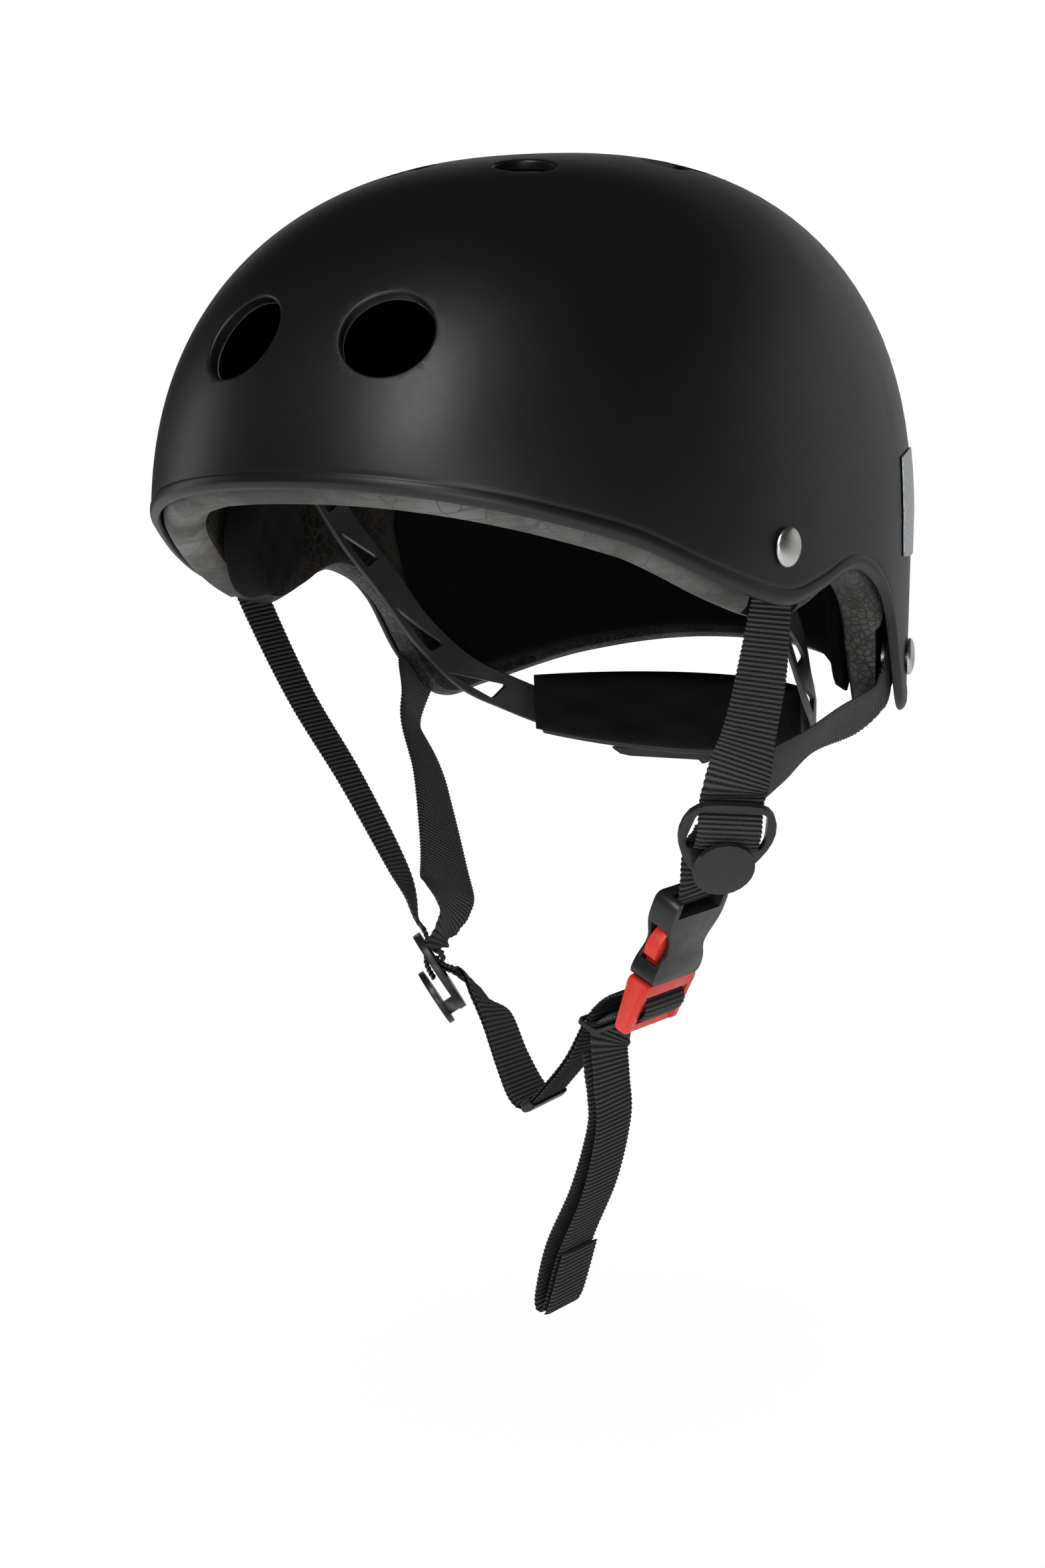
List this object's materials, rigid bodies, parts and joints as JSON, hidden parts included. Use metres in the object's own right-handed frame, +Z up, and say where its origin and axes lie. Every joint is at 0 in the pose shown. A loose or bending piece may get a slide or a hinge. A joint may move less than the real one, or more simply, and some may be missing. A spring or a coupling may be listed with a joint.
{
  "type": "water helmet",
  "caption": "Half-shell water-sports helmet with ear cut-outs, round vents, foam liner, dial-adjusted rear cradle and a side-release buckle on webbing chin straps.",
  "frame": {"origin": "middle of the head opening, level with the middle of the ear cut-outs", "axes": "the wearer faces -Y, the wearer's left is +X, +Z is up"},
  "size_m": [0.21, 0.2761, 0.3625],
  "materials": {
    "shell_black": "satin moulded ABS",
    "eps_grey": "moulded expanded foam beads",
    "pad_black": "brushed loop fabric on foam",
    "web_black": "ribbed nylon webbing",
    "fitting_black": "satin moulded nylon",
    "rubber_black": "smooth rubber",
    "buckle_red": "glossy moulded acetal",
    "rivet_silver": "satin plated steel",
    "patch_grey": "reflective film with a fine grid"
  },
  "bodies": {
    "helmet": {"outer_shell": "shell_black", "eps_liner": "eps_grey", "rear_pad": "pad_black", "front_pad": "pad_black", "temple_pad_left": "pad_black", "temple_pad_right": "pad_black", "crown_pad_left": "pad_black", "crown_pad_right": "pad_black", "reflector_left": "patch_grey", "reflector_right": "patch_grey", "rivet_front_left": "rivet_silver", "rivet_front_right": "rivet_silver", "rivet_rear_left": "rivet_silver", "rivet_rear_right": "rivet_silver", "headband_arm_left": "fitting_black", "headband_arm_right": "fitting_black", "temple_anchor_left": "fitting_black", "temple_anchor_right": "fitting_black", "divider_left": "fitting_black", "divider_right": "fitting_black", "buckle_socket": "fitting_black", "strap_keeper": "fitting_black", "strap_front_left": "web_black", "strap_front_right": "web_black", "strap_rear_left": "web_black", "strap_rear_right": "web_black", "strap_socket": "web_black", "strap_chin": "web_black"},
    "cradle": {"cradle_frame": "fitting_black", "cradle_pad": "pad_black", "cradle_cover": "fitting_black"},
    "dial": {"dial_knob": "fitting_black"},
    "rack_left": {"rack_left": "fitting_black"},
    "rack_right": {"rack_right": "fitting_black"},
    "plug": {"buckle_plug": "buckle_red", "strap_roll": "web_black", "strap_ring": "rubber_black", "strap_tail": "web_black"},
    "prong_front": {"buckle_prong_front": "buckle_red"},
    "prong_rear": {"buckle_prong_rear": "buckle_red"}
  },
  "joints": [
    {"name": "dial_turn", "type": "hinge", "parent": "cradle", "child": "dial", "pos_m": [0, 0.09275, -0.048], "axis": [0, -1, 0], "range_deg": [0, 200]},
    {"name": "cradle_slide", "type": "slide", "parent": "helmet", "child": "cradle", "axis": [0, -1, 0], "range_m": [0, 0.0101]},
    {"name": "rack_left_slide", "type": "slide", "parent": "helmet", "child": "rack_left", "axis": [-0.8677, -0.4971, 0], "range_m": [0, 0.0202], "deforming": ["headband_arm_left"]},
    {"name": "rack_right_slide", "type": "slide", "parent": "helmet", "child": "rack_right", "axis": [0.8677, -0.4971, 0], "range_m": [0, 0.0202], "deforming": ["headband_arm_right"]},
    {"name": "buckle_pull", "type": "slide", "parent": "helmet", "child": "plug", "axis": [-0.4203, 0.055, -0.9057], "range_m": [0, 0.03], "deforming": ["strap_chin", "buckle_prong_front", "buckle_prong_rear"]},
    {"name": "prong_front_squeeze", "type": "hinge", "parent": "plug", "child": "prong_front", "pos_m": [0.05426, -0.04489, -0.10375], "axis": [-0.8991, 0.109, 0.4239], "range_deg": [0, 11], "stiffness_Nm_per_rad": 0.4},
    {"name": "prong_rear_squeeze", "type": "hinge", "parent": "plug", "child": "prong_rear", "pos_m": [0.05615, -0.0295, -0.10369], "axis": [0.8991, -0.109, -0.4239], "range_deg": [0, 11], "stiffness_Nm_per_rad": 0.4}
  ],
  "couplings": [
    {"joint": "cradle_slide", "follows": "dial_turn", "m_per_rad": 0.0028648},
    {"joint": "rack_left_slide", "follows": "dial_turn", "m_per_rad": 0.0057626},
    {"joint": "rack_right_slide", "follows": "dial_turn", "m_per_rad": 0.0057626}
  ]
}
